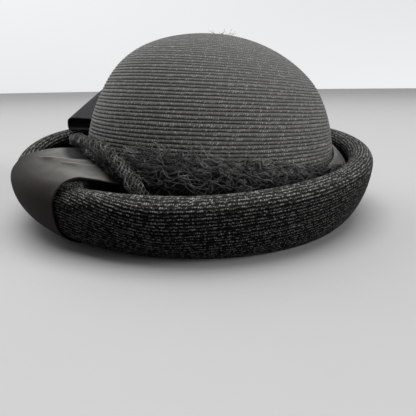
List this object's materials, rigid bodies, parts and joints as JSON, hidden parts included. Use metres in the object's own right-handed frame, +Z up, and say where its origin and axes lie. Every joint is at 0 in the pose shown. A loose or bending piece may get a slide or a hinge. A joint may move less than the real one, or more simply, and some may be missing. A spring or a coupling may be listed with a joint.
{
  "type": "breton hat",
  "caption": "Black sewn-straw breton hat with an oval dome crown, rolled turned-up brim, ribbon band, ribbon wrapped over the brim, bow loop and crumpled net veil.",
  "frame": {"origin": "middle of the hat's box, on the surface that the brim stands on", "axes": "+Z up through the crown, front of the hat towards -Y, the ribbon and bow at -X"},
  "size_m": [0.2516, 0.263, 0.1197],
  "materials": {
    "straw": "dull sheen",
    "ribbon": "satin",
    "veil": "matt"
  },
  "bodies": {
    "root": {"crown": "straw", "brim": "straw", "hat_band": "ribbon", "ribbon_wrap": "ribbon", "bow_loop": "ribbon", "veil_band": "veil", "veil_twist": "veil"}
  },
  "joints": []
}
